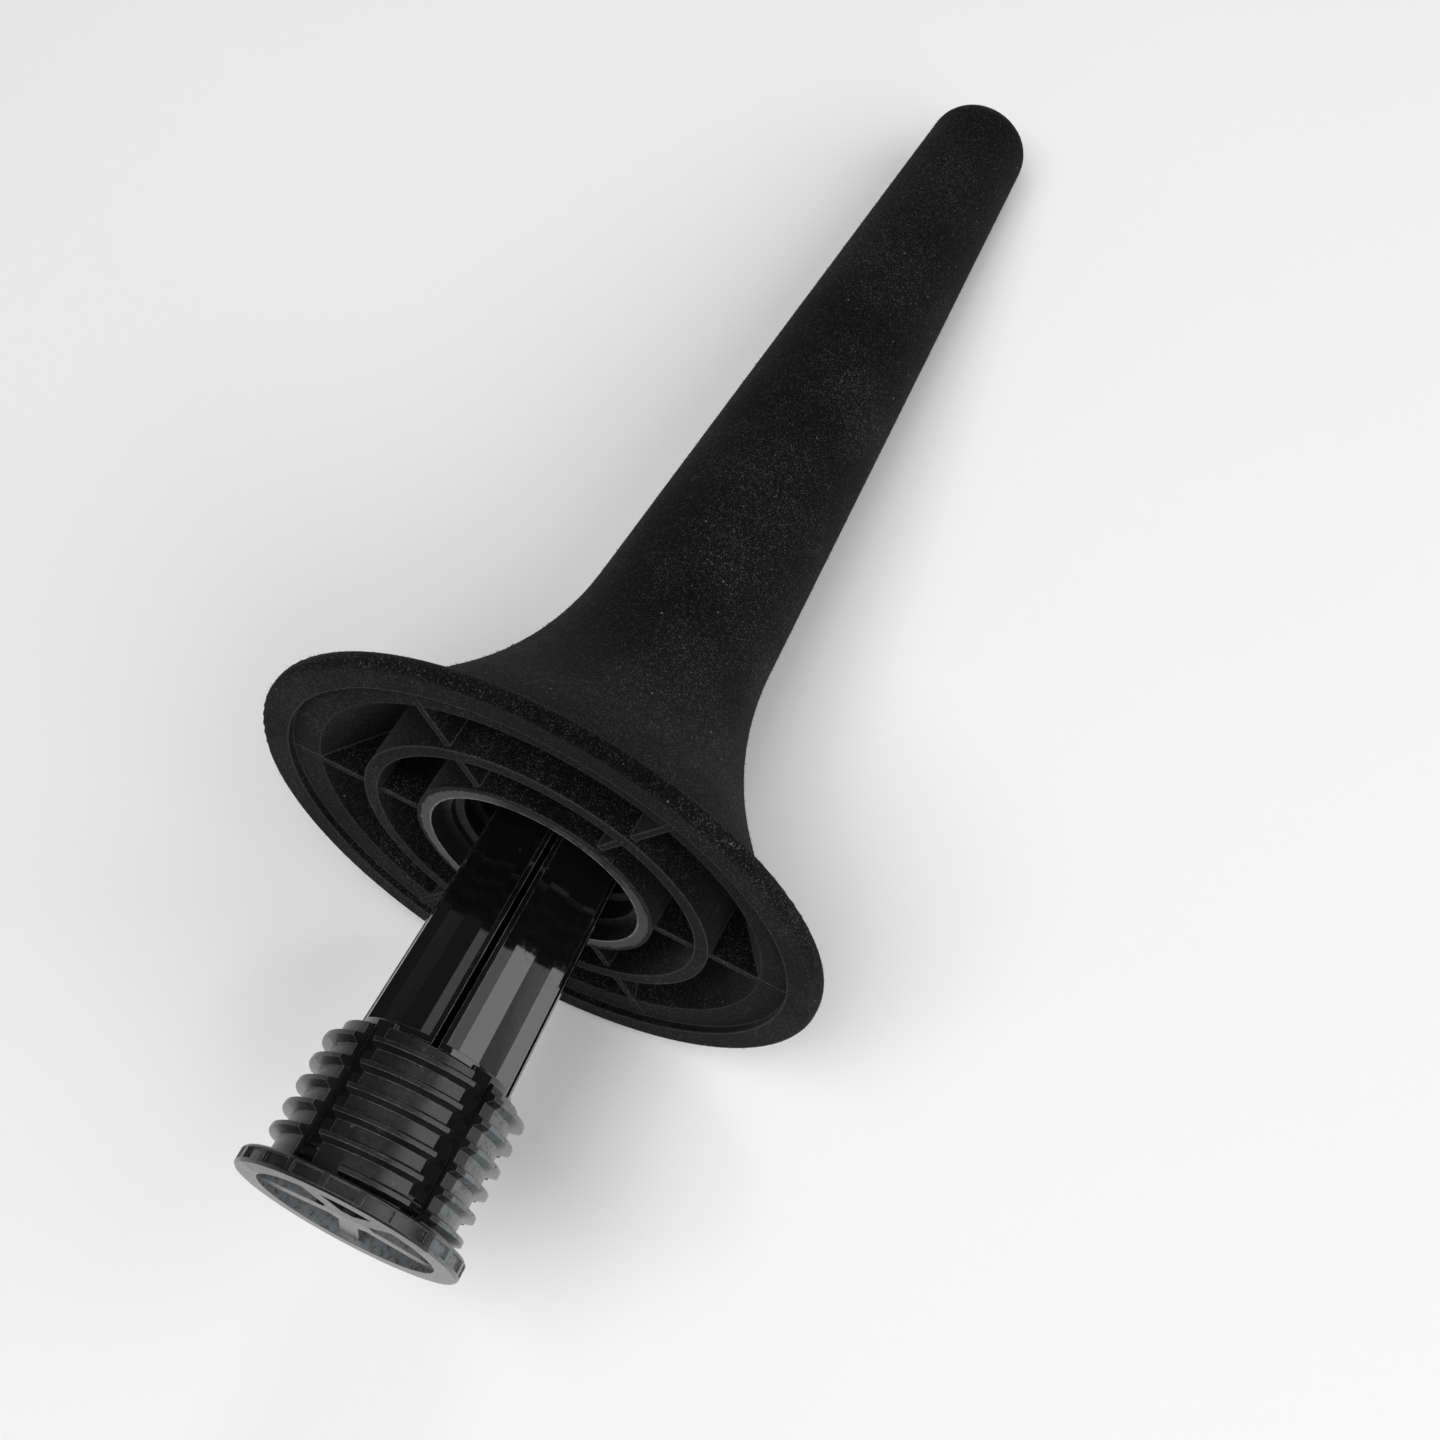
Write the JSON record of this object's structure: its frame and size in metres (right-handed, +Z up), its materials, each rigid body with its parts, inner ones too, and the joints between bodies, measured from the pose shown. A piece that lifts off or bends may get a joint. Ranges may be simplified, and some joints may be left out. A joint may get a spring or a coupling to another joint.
{
  "type": "folding instrument stand",
  "caption": "Flocked trumpet-shaped bell peg for a wind instrument, lying on its side with its folded, threaded leg base pushed part of the way into its hollow foot.",
  "frame": {"origin": "on the surface the stand lies on, under the middle of its bounding box", "axes": "+Z up; +X level, towards the peg's tip, with the peg's axis in the XZ plane and leaning down towards the tip; +Y to the left when looking along +X"},
  "size_m": [0.1904, 0.075, 0.0735],
  "materials": {
    "flock": "matt black flock over moulded plastic",
    "base_plastic": "satin moulded plastic, scuffed",
    "leg_plastic": "high gloss moulded plastic",
    "pin_steel": "drawn wire",
    "pad_rubber": "matt"
  },
  "bodies": {
    "peg": {"flocked_peg": "flock"},
    "base": {"threaded_core": "base_plastic", "knurled_disc": "base_plastic", "hinge_pin_1": "pin_steel", "hinge_pin_2": "pin_steel", "hinge_pin_3": "pin_steel", "hinge_pin_4": "pin_steel", "hinge_pin_5": "pin_steel"},
    "leg_1": {"leg_1": "leg_plastic", "foot_pad_1": "pad_rubber"},
    "leg_2": {"leg_2": "leg_plastic", "foot_pad_2": "pad_rubber"},
    "leg_3": {"leg_3": "leg_plastic", "foot_pad_3": "pad_rubber"},
    "leg_4": {"leg_4": "leg_plastic", "foot_pad_4": "pad_rubber"},
    "leg_5": {"leg_5": "leg_plastic", "foot_pad_5": "pad_rubber"}
  },
  "joints": [
    {"name": "base_slide", "type": "slide", "parent": "peg", "child": "base", "axis": [0.9782, 0, -0.2077], "range_m": [-0.05, 0.016]},
    {"name": "leg_1_hinge", "type": "hinge", "parent": "base", "child": "leg_1", "pos_m": [-0.08799, -0.00845, 0.04976], "axis": [-0.1075, -0.6942, -0.7118], "range_deg": [0, 0.5]},
    {"name": "leg_2_hinge", "type": "hinge", "parent": "base", "child": "leg_2", "pos_m": [-0.08975, -0.00992, 0.03943], "axis": [-0.1625, 0.4697, -0.8677], "range_deg": [0, 0.5]},
    {"name": "leg_3_hinge", "type": "hinge", "parent": "base", "child": "leg_3", "pos_m": [-0.09077, -0.00041, 0.03491], "axis": [0.007, 0.9845, 0.1755], "range_deg": [0, 0.5]},
    {"name": "leg_4_hinge", "type": "hinge", "parent": "base", "child": "leg_4", "pos_m": [-0.08963, 0.00694, 0.04244], "axis": [0.1668, 0.1387, 0.9762], "range_deg": [0, 0.5]},
    {"name": "leg_5_hinge", "type": "hinge", "parent": "base", "child": "leg_5", "pos_m": [-0.08791, 0.00197, 0.05162], "axis": [0.0961, -0.8987, 0.4278], "range_deg": [0, 0.5]}
  ]
}
